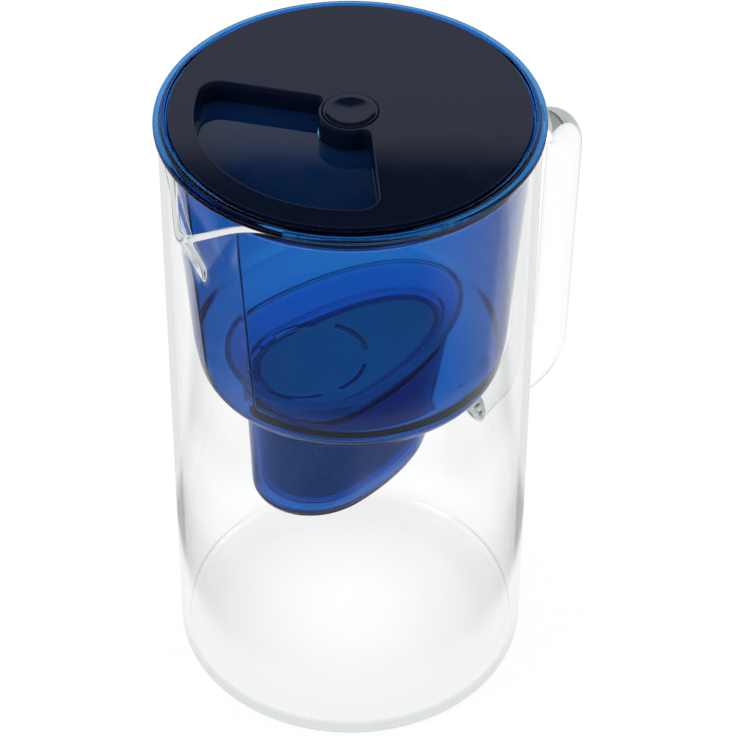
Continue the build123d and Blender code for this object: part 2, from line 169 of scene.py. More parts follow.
# %% [markdown]
# ## Finishes that several materials share
# Moulded plastic and pressed glass are never perfectly even: the polish varies in soft patches, and the surface
# swells and sinks by a few hundredths of a millimetre. A node group makes both from noise on the object's own
# coordinates, and every material below places it with its own values. Scratches get a group of their own, because
# only the pieces that hands touch have them.

# %% The uneven polish
def new_group(name, inputs, outputs):
    group = bpy.data.node_groups.new(name, "ShaderNodeTree")
    for label, value in inputs.items():
        socket = group.interface.new_socket(name=label, in_out="INPUT", socket_type="NodeSocketFloat")
        socket.default_value = value
    for label in outputs:
        group.interface.new_socket(name=label, in_out="OUTPUT", socket_type="NodeSocketFloat")
    return group, group.nodes.new("NodeGroupInput").outputs, group.nodes.new("NodeGroupOutput").inputs


def feed(tree, socket, value):
    """Sets a socket to a number or a colour, or links it to what another node puts out."""
    if isinstance(value, bpy.types.NodeSocket):
        tree.links.new(value, socket)
    else:
        socket.default_value = value


def add_node(tree, kind, *values, operation=None):
    """Adds a node and feeds its sockets, in the order in which the editor shows them."""
    node = tree.nodes.new("ShaderNode" + kind)
    if operation:
        node.operation = operation
    for socket, value in zip(node.inputs, values):
        feed(tree, socket, value)
    return node


def object_place(tree):
    """A point's place on its own piece, so that a pattern goes along when the piece moves."""
    return add_node(tree, "TexCoord").outputs["Object"]


def add_texture(tree, kind, scale, place):
    texture = add_node(tree, "Tex" + kind, place)
    feed(tree, texture.inputs["Scale"], scale)
    return texture


def add_noise(tree, scale, detail, place):
    noise = add_texture(tree, "Noise", scale, place)
    noise.inputs["Detail"].default_value = detail
    return noise


def add_math(tree, operation, first, second):
    return add_node(tree, "Math", first, second, operation=operation).outputs["Value"]


def add_range(tree, value, low, high, new_low, new_high):
    return add_node(tree, "MapRange", value, low, high, new_low, new_high).outputs["Result"]


def build_polish_group():
    values = {"Smoothest": 0.03, "Roughest": 0.09, "Patch Size": 60.0, "Swell Size": 25.0}
    group, given, result = new_group("uneven_polish", values, ("Roughness", "Height"))
    place = object_place(group)
    patches = add_noise(group, given["Patch Size"], 4, place)
    swell = add_noise(group, given["Swell Size"], 1, place)
    rough = add_range(group, patches.outputs["Fac"], 0.3, 0.7, given["Smoothest"], given["Roughest"])
    group.links.new(rough, result["Roughness"])
    group.links.new(swell.outputs["Fac"], result["Height"])
    return group


def build_scratch_group():
    group, given, result = new_group("hairline_scratches", {"Amount": 0.5, "Density": 160.0}, ("Mask",))
    place = object_place(group)
    bend = add_noise(group, 30, 2, place)
    bend_reach = 0.02
    lean = add_node(group, "VectorMath", bend.outputs["Color"], (bend_reach,) * 3, place, operation="MULTIPLY_ADD")
    cells = add_texture(group, "Voronoi", given["Density"], lean.outputs["Vector"])
    cells.feature = "DISTANCE_TO_EDGE"
    line_width = 0.02
    thin = add_range(group, cells.outputs["Distance"], 0.0, line_width, 1.0, 0.0)
    broken = add_range(group, add_noise(group, 90, 3, place).outputs["Fac"], 0.52, 0.62, 0.0, 1.0)
    mask = add_math(group, "MULTIPLY", thin, broken)
    mask = add_math(group, "MULTIPLY", mask, given["Amount"])
    group.links.new(mask, result["Mask"])
    return group


polish_group = build_polish_group()
scratch_group = build_scratch_group()
print("shared finishes:", polish_group.name, scratch_group.name)

# %% Every material starts alike
def new_material(name, **sockets):
    """A Principled material with plain values on its sockets, whose names are written with underscores."""
    material = bpy.data.materials.new(name)
    material.use_nodes = True
    shader = material.node_tree.nodes["Principled BSDF"]
    for label, value in sockets.items():
        shader.inputs[label.replace("_", " ")].default_value = value
    print("material:", name)
    return material, material.node_tree, shader


def add_bump(tree, height, depth):
    """Makes the surface rise and fall by up to depth millimetres."""
    bump = tree.nodes.new("ShaderNodeBump")
    bump.inputs["Distance"].default_value = depth * MM
    tree.links.new(height, bump.inputs["Height"])
    tree.links.new(bump.outputs["Normal"], tree.nodes["Principled BSDF"].inputs["Normal"])


def add_group(tree, group, **values):
    """Places a node group with its own values."""
    node = tree.nodes.new("ShaderNodeGroup")
    node.node_tree = group
    for label, value in values.items():
        node.inputs[label].default_value = value
    return node.outputs


# %% A material with the uneven polish in it
def polished(name, colour, smoothest, roughest, swell_depth, scratches=0.0, **sockets):
    """A material in one colour with soft patches of polish, a faint swell and, if asked, scratches."""
    material, tree, shader = new_material(name, Base_Color=(*colour, 1.0), **sockets)
    polish = add_group(tree, polish_group, Smoothest=smoothest, Roughest=roughest)
    rough = polish["Roughness"]
    if scratches:
        rough = add_math(tree, "ADD", rough, add_group(tree, scratch_group, Amount=scratches)["Mask"])
    tree.links.new(rough, shader.inputs["Roughness"])
    add_bump(tree, polish["Height"], swell_depth)
    return material


# %% [markdown]
# ## The materials
# Clear glass and dyed plastic both let light through, so they use the Principled shader with its transmission at
# full and a white surface. Their colour is inside them: a volume that takes up some of the light on its way, so a
# thin wall is pale, a thick ring is deep, and clear glass is grey only where it is seen along its wall. A ray that
# turns inside such a piece more often than the renderer follows it would end as black, so the piece gives a little
# light back there. The lid is the same plastic with so much dye in it that no light comes through, so it is drawn as
# a plain dark surface.

# %% Colour that grows with depth
def see_through(name, smoothest, roughest, swell_depth, tint, colour, per_metre):
    """Glass or clear plastic, filled with a dye: the colour that is let through, and how fast the rest is taken up."""
    material = polished(name, (1.0, 1.0, 1.0), smoothest, roughest, swell_depth, Transmission_Weight=1.0, IOR=1.5,
                        Specular_Tint=(*tint, 1.0))
    tree = material.node_tree
    inside = add_node(tree, "VolumeAbsorption", (*colour, 1.0), per_metre)
    tree.links.new(inside.outputs["Volume"], tree.nodes["Material Output"].inputs["Volume"])
    return material


# %% Light that the renderer would lose
most_turns = 2.5
last_surface = 11


def glow(material, strength, colour):
    """Lets a piece give light in this colour, as strongly as another node says."""
    tree = material.node_tree
    shader = tree.nodes["Principled BSDF"]
    tree.links.new(strength, shader.inputs["Emission Strength"])
    shader.inputs["Emission Color"].default_value = (*colour, 1.0)


def pass_on_trapped_light(material, share):
    """Gives back some light where a ray has been mirrored inside a wall or a rod so often that it is soon given up."""
    tree = material.node_tree
    turns = add_node(tree, "LightPath").outputs["Glossy Depth"]
    late = add_math(tree, "GREATER_THAN", turns, most_turns)
    glow(material, add_math(tree, "MULTIPLY", late, share), (1.0, 1.0, 1.0))


def light_through_walls(material, walls, colour):
    """Lights a piece inside the pitcher, the more so the further it is seen beyond this number of surfaces.

    Daylight reaches it through as many surfaces again, which is further than the renderer follows it.
    """
    tree = material.node_tree
    passed = add_node(tree, "LightPath").outputs["Ray Depth"]
    glow(material, add_range(tree, passed, walls - 1, last_surface, 0.0, 1.0), colour)


# %% Materials of the pieces that show
clear_glass = see_through("clear_glass", smoothest=0.0, roughest=0.012, swell_depth=0.02, tint=(0.5, 0.5, 0.5),
                          colour=(0.05, 0.2, 0.17), per_metre=9.0)
pass_on_trapped_light(clear_glass, 0.32)
hopper_blue = see_through("hopper_blue", smoothest=0.015, roughest=0.05, swell_depth=0.03, tint=(0.45, 0.6, 0.75),
                          colour=(0.0, 0.57, 0.86), per_metre=1080.0)
light_through_walls(hopper_blue, 5, (0.0, 0.022, 0.055))
cartridge_blue = see_through("cartridge_blue", smoothest=0.05, roughest=0.12, swell_depth=0.03, tint=(0.4, 0.5, 0.7),
                             colour=(0.0, 0.58, 0.88), per_metre=400.0)
light_through_walls(cartridge_blue, 4, (0.0, 0.030, 0.055))
lid_navy = polished("lid_navy", (0.0026, 0.0056, 0.017), smoothest=0.02, roughest=0.05, swell_depth=0.03,
                    scratches=0.05, IOR=1.5, Specular_Tint=(0.64, 0.70, 1.0, 1.0))
flap_navy = polished("flap_navy", (0.001, 0.013, 0.055), smoothest=0.02, roughest=0.06, swell_depth=0.03,
                     scratches=0.03, IOR=1.5)

# %% [markdown]
# ## The glass jug
# The jug is a tube of blown glass, closed by a flat base and fire-polished at the rim, so its edge is round. The
# lip was pinched out while the glass was soft: in plan it is a V that grows out of the round wall. A spun profile
# can't hold the V, so the ring stack is used: each ring is the round wall or the V, whichever reaches further, with
# a soft change from one to the other. Near the lip the rings also sink, because its mouth slants down to the tip.

# %% Sizes of the jug
jug_wall = 2.5
jug_floor = 3.5
base_hollow = 0.6
foot_inside = 56
wall_start = 12
foot_round = 3.0
inner_round = 4.0
rim_round = 1.1
lip_drop = 12.5
lip_rise = 20.5
lip_reach = -jug_low.x - jug_radius
lip_half_angle = math.radians(45.4)
lip_lean = lip_reach / lip_rise
lip_nose = 2.4
lip_blend = 3.0
lip_corner = 60.3
mouth_blend = 4.0
lip_zone = 196.0
lip_spread = math.radians(38)
tip_reach = jug_radius + lip_reach + lip_nose / math.tan(lip_half_angle)
settling_rounds = 14
print(f"lip: {lip_reach:.1f} mm out, {lip_drop:.1f} mm down at its tip")


def soft_larger(first, second, blend):
    """The larger of two lengths, with a round change between them."""
    near = max(blend - abs(first - second), 0.0)
    return max(first, second) + near * near / (4 * blend)


def jug_wall_radius(turn, z, inset):
    """Distance from the jug's axis to its wall, seen at this turn and height."""
    off = math.pi - abs(turn)
    round_wall = jug_radius - inset
    if off > lip_spread:
        return round_wall
    apex = tip_reach + lip_lean * (z - (jug_height - lip_drop)) - inset / math.sin(lip_half_angle)
    side = math.hypot(math.sin(off), lip_nose / apex)
    vee = apex / (math.cos(off) + side / math.tan(lip_half_angle))
    return soft_larger(vee, round_wall, lip_blend)


def rim_height(x):
    """Height of the rim over this place: level all round, slanting down toward the tip of the lip."""
    slope = lip_drop / (jug_radius + lip_reach - lip_corner)
    slanted = jug_height - slope * (-x - lip_corner)
    return -soft_larger(-jug_height, -slanted, mouth_blend)


def jug_place(turn, share, z):
    """A point of the wall: share 0 is the outer face and 1 the inner face, z as if the rim were level."""
    def radius(height):
        outer = jug_wall_radius(turn, height, 0.0)
        inner = jug_wall_radius(turn, height, jug_wall)
        return outer + (inner - outer) * share

    top = jug_height
    for _ in range(settling_rounds):
        top = rim_height(radius(top) * math.cos(turn))
    if z > lip_zone:
        z = lip_zone + (z - lip_zone) * (top - lip_zone) / (jug_height - lip_zone)
    return Vector((radius(z) * math.cos(turn), radius(z) * math.sin(turn), z))


def flat_ring(radius, z):
    return lambda turn: Vector((radius * math.cos(turn), radius * math.sin(turn), z))


def flat_rings(profile):
    return [flat_ring(radius, z) for radius, z in profile]


def wall_ring(share, z):
    return lambda turn: jug_place(turn, share, z)


# %% The rings of the jug, from under the base up the outside, over the rim and down the inside
def jug_rings():
    base = [(0.4, base_hollow), (20, base_hollow), (48, 0.5), (foot_inside, 0.0)]
    rings = flat_rings(base + arc_points((jug_radius - foot_round, foot_round), foot_round, -90, 0, 6))
    rings += [wall_ring(0, z) for z in spread(wall_start, lip_zone, 12)]
    rings += [wall_ring(0, z) for z in spread(lip_zone, jug_height - rim_round, 22)[1:]]
    lap = rim_round / jug_wall
    rings += [wall_ring(lap - lap * math.cos(t), jug_height - rim_round * (1 - math.sin(t)))
              for t in spread(0, math.pi / 2, 6)[1:]]
    rings += [wall_ring(1 - lap + lap * math.sin(t), jug_height - rim_round * (1 - math.cos(t)))
              for t in spread(0, math.pi / 2, 6)]
    rings += [wall_ring(1, z) for z in spread(jug_height - rim_round, lip_zone, 22)[1:]]
    rings += [wall_ring(1, z) for z in spread(lip_zone, wall_start, 12)[1:]]
    bore = jug_radius - jug_wall
    bowl = arc_points((bore - inner_round, jug_floor + inner_round), inner_round, 0, -90, 8)
    return rings + flat_rings(bowl + [(40, jug_floor), (15, jug_floor), (0.4, jug_floor)])


make_piece("jug", ring_stack(jug_rings(), 360), "jug", clear_glass, ["glass_body"])

# %% [markdown]
# ## The rod handle
# The handle is a solid glass rod, bent while hot and pressed onto the wall, where it spreads into a flared foot at
# each end. A curve with a bevel could make the rod, but not the feet. Here the ring stack runs along the path, so
# that each ring has its own radius. The ends reach into the wall's glass, as they do where two hot pieces melt
# together, so no line of air shows between them.

# %% The handle's path and its rings
rod_radius = 6.5
foot_flare = 1.4
flare_length = 3.4
handle_bend = 15.0
handle_top = 191.0
handle_low = 72.0
handle_drift = 2.8
handle_lean = math.degrees(math.atan2(handle_drift, handle_top - handle_low))
upper_reach = handle_bend * math.tan(math.radians(90 + handle_lean) / 2)
lower_reach = handle_bend * math.tan(math.radians(90 - handle_lean) / 2)
handle_high_x = box_mm("glass_handle")[1].x - rod_radius - handle_bend + upper_reach
handle_low_x = handle_high_x - handle_drift
root_x = jug_radius - jug_wall / 2
run_steps = 26
bend_steps = 16


def handle_path():
    """Centre points of the rod in the X-Z plane, from its upper root round to its lower one."""
    upper = (handle_high_x - upper_reach, handle_top - handle_bend)
    lower = (handle_low_x - lower_reach, handle_low + handle_bend)
    points = [(x, handle_top) for x in spread(root_x, upper[0], run_steps)[:-1]]
    points += arc_points(upper, handle_bend, 90, -handle_lean, bend_steps)
    points += arc_points(lower, handle_bend, -handle_lean, -90, bend_steps)
    points += [(x, handle_low) for x in spread(lower[0], root_x, run_steps)[1:]]
    return [Vector((x, 0, z)) for x, z in points]


def rod_ring(path, index):
    before = path[max(index - 1, 0)]
    after = path[min(index + 1, len(path) - 1)]
    along = (after - before).normalized()
    across = Vector((0, 1, 0))
    out = along.cross(across)
    radius = rod_radius + foot_flare * math.exp(-(path[index].x - root_x) / flare_length)
    return lambda turn: path[index] + radius * (math.cos(turn) * out + math.sin(turn) * across)


rod_path = handle_path()
rod_rings = [rod_ring(rod_path, index) for index in range(len(rod_path))]
make_piece("handle", ring_stack(rod_rings, 56), "jug", clear_glass, ["glass_handle"], crease=60)

# %% [markdown]
# ## Egg-shaped outlines
# The well of the hopper and the cartridge in it are egg-shaped in plan: a short half ellipse toward the lip and a
# long one toward the handle. One formula gives every outline, and the well's walls draw in as they go down.

# %% The egg outlines
mouth = {"x": -16.5, "nose": 24.0, "tail": 60.0, "half": 26.0}
well_foot = {"x": -15.0, "nose": 25.5, "tail": 48.0, "half": 22.3}
bowl = {"x": -18.0, "nose": 18.4, "tail": 17.0, "half": 14.6}
foot_middle = well_foot["x"] + (well_foot["tail"] - well_foot["nose"]) / 2
hopper_floor = 134.0
well_low = hopper_low.z
well_collar = hopper_floor - 6.0


def egg_ring(shape, z, grow=0.0):
    def place(turn):
        length = shape["tail"] if math.cos(turn) > 0 else shape["nose"]
        x = shape["x"] + (length + grow) * math.cos(turn)
        return Vector((x, (shape["half"] + grow) * math.sin(turn), z))

    return place


def between(first, second, share):
    return {key: first[key] + (second[key] - first[key]) * share for key in first}


def well_ring(z, grow):
    share = min(1.0, max(0.0, (well_collar - z) / (well_collar - well_low)))
    return egg_ring(between(mouth, well_foot, share), z, grow)


def well_arc(z, *arc):
    """Rings of the well along an arc that is drawn from the height z, outward and upward."""
    return [well_ring(z + rise, grow) for grow, rise in arc_points(*arc)]


print(f"well: {hopper_floor - well_low:.0f} mm deep, {2 * mouth['half']:.0f} mm wide at its mouth")


# %% Flat ends with openings in them
def loop_edges(bm, points, z):
    """A closed loop of edges through the points at one height."""
    corners = [bm.verts.new((p[0], p[1], z)) for p in points]
    return [bm.edges.new((a, b)) for a, b in zip(corners, corners[1:] + corners[:1])]


def circle_points(radius, count, centre=(0, 0)):
    return arc_points(centre, radius, 0, 360, count)[:-1]


def rectangle(x_low, x_high, y_low, y_high):
    return [(x_low, y_low), (x_high, y_low), (x_high, y_high), (x_low, y_high)]


def close_with_openings(bm, low, high, outlines):
    """Closes a double-walled tube at its two flat ends, with openings that run from one end to the other."""
    loops = []
    for z in (low, high):
        rim = [edge for edge in bm.edges if edge.is_boundary and all(abs(c.co.z - z) < 1e-3 for c in edge.verts)]
        openings = [loop_edges(bm, outline, z) for outline in outlines]
        edges = rim + [edge for opening in openings for edge in opening]
        bmesh.ops.triangle_fill(bm, use_beauty=True, use_dissolve=False, edges=edges, normal=(0, 0, 1))
        loops.append(openings)
    for lower, upper in zip(*loops):
        bmesh.ops.bridge_loops(bm, edges=lower + upper)
    face_outward(bm)
    print("openings made:", len(outlines))


# %% [markdown]
# ## The hopper
# The hopper is one thin moulding: the ring that rests on the jug's rim, the tapered tank, its rounded floor and the
# deep well for the cartridge. It is drawn as one closed skin, up the outside and down the inside, so light bends
# through it as through a real wall. The side toward the lip is flat. Its two upright corners are where the photo
# shows dark lines, so the rings have three close points there, which make a small round corner.

# %% Sizes of the hopper
hopper_wall = 2.0
neck_radius = jug_radius - jug_wall - 0.4
base_radius = 54.7
base_round = 10.0
well_round = 4.0
rib_z = jug_height - 4.5
rib_half = 0.9
drain_radius = 2.0
drain_gap = 9.0
bead_radius = 63.3
bead_round = 0.85
flat_depth = 1.55
corner_step = math.radians(0.33)
ring_count = 288
flange_radius = hopper_high.y
flange_top = hopper_high.z
ledge_z = lid_high.z - 2.0
recess_radius = lid_high.y + 0.4
print(f"hopper: {2 * base_radius:.0f} mm across at its floor, {2 * flange_radius:.0f} mm at its ring")


def taper_radius(z):
    return neck_radius - (neck_radius - base_radius) * (jug_height - z) / (jug_height - hopper_floor)


def snap_to_corner(turn, radius, depth):
    """Moves the three turns nearest a corner of the flat close to it, so that the corner is crisp."""
    corner = math.acos(1 - depth / radius)
    off = math.pi - abs(turn)
    steps = round((off - corner) / (math.tau / ring_count))
    if abs(steps) <= 1:
        off = corner + steps * corner_step
    return math.copysign(math.pi - off, turn)


def tank_ring(z, shrink, radius=None):
    """A round ring of the tank with its flat toward the lip, drawn in by shrink."""
    wall = taper_radius(z)
    size = wall - shrink if radius is None else radius
    limit = wall - flat_depth - shrink

    def place(turn):
        turn = snap_to_corner(turn, wall - shrink, flat_depth)
        x = size * math.cos(turn)
        y = size * math.sin(turn)
        if x < -limit:
            y = y * (limit / -x) ** 0.5
            x = -limit
        return Vector((x, y, z))

    return place


def meet(first, second, share):
    """A ring part of the way between two others."""
    return lambda turn: first(turn).lerp(second(turn), share)


# %% The rings of the hopper
def hopper_rings():
    rings = [well_ring(well_low, -10)]
    rings += well_arc(well_low, (-well_round, well_round), well_round, -90, 0, 6)
    rings += [well_ring(z, 0) for z in spread(well_low + well_round, well_collar, 8)[1:]]
    rings += well_arc(hopper_floor, (1, -1), 1, 180, 90, 4)
    floor_edge = tank_ring(hopper_floor, 0, base_radius - base_round)
    rings += [meet(well_ring(hopper_floor, 1.05), floor_edge, share) for share in (0.35, 0.75)]
    outer_base = arc_points((base_radius - base_round, hopper_floor + base_round), base_round, -90, -4, 10)
    rings += [tank_ring(z, 0, radius) for radius, z in outer_base]
    rings += [tank_ring(z, 0) for z in spread(hopper_floor + base_round, rib_z - rib_half, 14)[1:]]
    rib = [(0.0, -rib_half), (0.25, -0.5), (0.35, 0.0), (0.25, 0.5), (0.0, rib_half)]
    rings += [tank_ring(rib_z + rise, 0, taper_radius(rib_z) + out) for out, rise in rib]
    rings += [tank_ring(jug_height - 1.0, 0), tank_ring(jug_height - 0.05, 0)]
    return rings


def flange_rings():
    edge = 1.1
    top = flange_top - 0.6
    under = flange_radius - edge
    profile = [(neck_radius + 0.6, jug_height), (under - 0.8, jug_height)]
    profile += arc_points((under, jug_height + edge), edge, -90, 0, 6)
    profile += arc_points((under, top - edge), edge, 0, 90, 6)
    profile += [(65.0, top), (64.4, top)]
    profile += arc_points((bead_radius, top), bead_round, 30, 150, 6)
    profile += [(62.2, top), (recess_radius + 0.25, top), (recess_radius, top - 0.25), (recess_radius, ledge_z)]
    return flat_rings(profile)


def inner_rings():
    floor = hopper_floor + hopper_wall
    rings = [tank_ring(jug_height, hopper_wall - 0.3, neck_radius - hopper_wall + 0.3)]
    rings += [tank_ring(z, hopper_wall) for z in spread(jug_height - 1.0, hopper_floor + base_round, 15)]
    inner = base_round - hopper_wall
    inner_base = arc_points((base_radius - base_round, floor + inner), inner, -4, -90, 10)
    rings += [tank_ring(z, hopper_wall, radius) for radius, z in inner_base]
    floor_edge = tank_ring(floor, hopper_wall, base_radius - base_round)
    rings += [meet(floor_edge, well_ring(floor, 0), share) for share in (0.3, 0.7)]
    rings += well_arc(floor, (-1.2, -0.8), 0.8, 90, 180, 4)
    rings += [well_ring(z, -hopper_wall) for z in spread(well_collar, well_low + 5, 8)]
    rings += well_arc(well_low, (-5, 5), 3, 0, -90, 5)
    return rings + [well_ring(well_low + hopper_wall, -10)]


drain_steps = (-2.5, -1.5, -0.5, 0.5, 1.5, 2.5)
drain_holes = [circle_points(drain_radius, 24, (foot_middle + drain_gap * step, 0)) for step in drain_steps]
hopper_skin = ring_stack(hopper_rings() + flange_rings() + inner_rings(), ring_count, close_ends=False)
close_with_openings(hopper_skin, well_low, well_low + hopper_wall, drain_holes)
make_piece("hopper_moulding", hopper_skin, "hopper_unit", hopper_blue, ["hopper"], crease=55)

# %% [markdown]
# ## The cartridge
# The cartridge stands in the well with its wide rim on the hopper's floor. The rim is a thin shell: it flares up
# from its foot, turns over a round edge and falls away into a shallow bowl, where curved slots let the water in.
# The shell is drawn as a skin without thickness, the slots are opened by taking faces out, and only then is the
# skin given its wall, which also closes the sides of the slots.

# %% The cartridge's cap
cap_wall = 1.6
cap_flare = 6.5
cap_edge = 1.2
bowl_floor = cap_low.z + 5.5
slot_line = 3.5
slot_bridges = 5
bridge_half = 3.5


def cap_rings():
    foot_z, top_z = cap_low.z + 0.05, cap_high.z
    rings = [well_ring(foot_z, -5.0), well_ring(foot_z, -0.4), well_ring(foot_z + 0.1, -0.1)]
    edge_z = top_z - cap_edge
    rings += [well_ring(z, cap_flare * (z - foot_z) / (top_z - foot_z)) for z in spread(foot_z + 0.4, edge_z, 5)]
    rings += well_arc(0.0, (cap_flare - 1.8, edge_z), cap_edge, 20, 150, 8)
    start = well_ring(top_z - 1.0, cap_flare - 3.4)
    rings += [meet(start, egg_ring(bowl, bowl_floor + 1.2, 4.4), share) for share in (0.15, 0.4, 0.7, 1.0)]
    rings += [egg_ring(bowl, bowl_floor + rise, grow) for rise, grow in ((0.5, 2.6), (0.1, 1.2), (0.0, 0.0))]
    return rings + [egg_ring(bowl, bowl_floor, grow) for grow in (-5, -10)]


def open_slots(bm):
    """Takes out the faces between two rings of the bowl, except where bridges cross them."""
    inside = []
    for face in bm.faces:
        centre = face.calc_center_median()
        x = centre.x - bowl["x"]
        reach = bowl["tail"] if x > 0 else bowl["nose"]
        at = math.hypot(x / (reach + slot_line), centre.y / (bowl["half"] + slot_line))
        turn = math.atan2(centre.y, x)
        gap = min(abs(math.remainder(turn - math.tau / slot_bridges * (step + 0.5), math.tau))
                  for step in range(slot_bridges))
        along_ring = gap * math.hypot(x, centre.y)
        if 0.97 < at < 1.03 and centre.z < bowl_floor + 2.5 and along_ring > bridge_half:
            inside.append(face)
    bmesh.ops.delete(bm, geom=inside, context="FACES")
    print("faces opened for the inlet slots:", len(inside))


def wall_up(bm, thickness):
    """Gives a skin its wall, on the side away from its normals."""
    face_outward(bm)
    bmesh.ops.solidify(bm, geom=bm.faces[:], thickness=thickness)


cap_skin = ring_stack(cap_rings(), 240, close_ends=False)
inner_rim = [edge for edge in cap_skin.edges if edge.is_boundary and edge.verts[0].co.z > bowl_floor - 1.0]
bmesh.ops.contextual_create(cap_skin, geom=inner_rim)
open_slots(cap_skin)
wall_up(cap_skin, cap_wall)
make_piece("cartridge_rim", cap_skin, "cartridge", cartridge_blue, ["cartridge_cap"], crease=50)

# %% The cartridge's tub
tub_wall = 1.6
outlet_gap = 5.0
outlet_half_width = 0.9
outlet_half_length = 7.3


def tub_rings():
    floor_z = shell_low.z + tub_wall
    top_z = shell_high.z - 0.05
    rings = [well_ring(shell_low.z, -9)] + well_arc(shell_low.z, (-6.6, 3), 3, -90, 0, 6)
    rings += [well_ring(z, -3.6) for z in spread(shell_low.z + 4, top_z - 0.2, 10)]
    rings += [well_ring(top_z, -3.8), well_ring(top_z, -5.0)]
    rings += [well_ring(z, -5.2) for z in spread(top_z - 0.2, floor_z + 0.3, 10)]
    return rings + [well_ring(floor_z, -5.45), well_ring(floor_z, -9)]


def outlet_slot(step):
    x = foot_middle + outlet_gap * step
    return rectangle(x - outlet_half_width, x + outlet_half_width, -outlet_half_length, outlet_half_length)


tub = ring_stack(tub_rings(), 200, close_ends=False)
outlet_slots = [outlet_slot(step) for step in range(-3, 4)]
close_with_openings(tub, shell_low.z, shell_low.z + tub_wall, outlet_slots)
make_piece("cartridge_tub", tub, "cartridge", cartridge_blue, ["cartridge_shell"], crease=50)

# %% [markdown]
# ## The lid
# The lid is a flat, highly polished disc. A fan-shaped pocket is sunk into the half toward the lip, and the
# button's round collar bites into its narrow end. In plan every corner is an arc that flows into its neighbours, so
# the outline is worked out from those arcs. The plate itself is then made with Blender's own tools: the outlines
# are filled, pushed down to the plate's thickness and bevelled.

# %% The fan-shaped outline
fan_angle = math.radians(54.0)
fan_offset = 6.0
fan_radius = 52.5
fan_outer_round = 7.0
fan_inner_round = 3.0
bore_radius = 9.6
collar_radius = 10.7


def fan_outline(grow, small):
    """The pocket's outline in plan, moved outward by grow and cut back to the radius small, as a list of points."""
    run = Vector((-math.cos(fan_angle), math.sin(fan_angle)))
    inward = Vector((-math.sin(fan_angle), -math.cos(fan_angle)))
    offset = fan_offset + grow
    big = fan_radius + grow
    corner = fan_outer_round + grow

    def centre_at(distance, clearance):
        across = clearance - offset
        return run * math.sqrt(distance**2 - across**2) + inward * across

    def arc(centre, radius, start, end, steps):
        first, last = math.degrees(math.atan2(start.y, start.x)), math.degrees(math.atan2(end.y, end.x))
        sweep = math.remainder(last - first, 360)
        return [Vector(p) for p in arc_points(centre, radius, first, first + sweep, steps)]

    outer = centre_at(big - corner, corner)
    inner = centre_at(small + fan_inner_round, fan_inner_round)
    half = arc(Vector((0, 0)), big, Vector((-1, 0)), outer, 40)
    half += arc(outer, corner, outer, -inward, 14)[1:]
    half += arc(inner, fan_inner_round, -inward, -inner, 10)
    half += arc(Vector((0, 0)), small, inner, Vector((-1, 0)), 24)[1:]
    lower = [Vector((p.x, -p.y)) for p in reversed(half[1:-1])]
    return half + lower


def plate(outlines, low, high, top_round, bottom_round=0.0):
    """A flat plate between its outer outline and its holes, with its top edges rounded."""
    bm = bmesh.new()
    edges = []
    for outline in outlines:
        edges += loop_edges(bm, outline, high)
    bmesh.ops.triangle_fill(bm, use_beauty=True, use_dissolve=False, edges=edges, normal=(0, 0, 1))
    face_outward(bm)
    if bm.faces[0].normal.z < 0:
        bmesh.ops.reverse_faces(bm, faces=bm.faces[:])
    top = bm.faces[:]
    copied = bmesh.ops.extrude_face_region(bm, geom=top, use_keep_orig=True)
    lowered = [item for item in copied["geom"] if isinstance(item, bmesh.types.BMVert)]
    bmesh.ops.translate(bm, vec=(0, 0, low - high), verts=lowered)
    face_outward(bm)
    for z, width in ((high, top_round), (low, bottom_round)):
        if width:
            rim = [e for e in bm.edges if all(abs(c.co.z - z) < 1e-4 for c in e.verts)
                   and len(e.link_faces) == 2 and e.calc_face_angle() > 1]
            bmesh.ops.bevel(bm, geom=rim, offset=width, offset_type="OFFSET", segments=4, profile=0.5,
                            affect="EDGES", clamp_overlap=True, material=-1)
    return bm


def add_parts(bm, *others):
    """Adds other shapes to a drawing."""
    for other in others:
        mesh = finished_mesh("part", other)
        bm.from_mesh(mesh)
        bpy.data.meshes.remove(mesh)


def upright_plate(outlines, width, edge, y_high):
    """A plate that is drawn lying down and turned up to stand in X and Z, with its far face at y_high."""
    bm = plate(outlines, 0.0, width, edge, edge)
    bmesh.ops.rotate(bm, cent=(0, 0, 0), matrix=Matrix.Rotation(math.radians(90), 3, "X"), verts=bm.verts[:])
    bmesh.ops.translate(bm, vec=(0, y_high, 0), verts=bm.verts[:])
    return bm


# %% The lid, with its pocket, collar and skirt
lid_radius = lid_high.y
lid_top = lid_high.z
plate_low = lid_top - 2.0
pocket_wall = 1.6
skirt_low = plate_low - 7.5
skirt_radius = neck_radius - hopper_wall - 0.5
pocket_low = flap_high.z + 0.3
web_z = (lid_top - 13.0, lid_top - 11.0)
joined_z = plate_low + 0.4
hinge_x = 8.0
hinge_z = web_z[0] - 3.0
lug_radius = 2.5
lug_width = 2.5
lug_bore = 1.28


def skirt_ring(radius, z):
    limit = radius - flat_depth + 0.1

    def place(turn):
        x = max(radius * math.cos(turn), -limit)
        return Vector((x, radius * math.sin(turn), z))

    return place


def tube(outer, inner, low, high, ring=flat_ring, count=160):
    rings = [ring(outer, low), ring(outer, high), ring(inner, high), ring(inner, low)]
    return ring_stack(rings, count, close_ends=False, close_loop=True)


def slotted_web():
    slot = rectangle(-2.8, 3.9, -1.7, 1.7)
    return plate([circle_points(collar_radius - 0.3, 96), slot], *web_z, 0.0)


def hinge_lug(y_high):
    """One of the two lugs under the web that hold the pin."""
    outline = [(hinge_x - lug_radius, web_z[0] + 0.2)] + arc_points((hinge_x, hinge_z), lug_radius, 180, 360, 20)
    outline += [(hinge_x + lug_radius, web_z[0] + 0.2)]
    return upright_plate([outline, circle_points(lug_bore, 32, (hinge_x, hinge_z))], lug_width, 0.2, y_high)


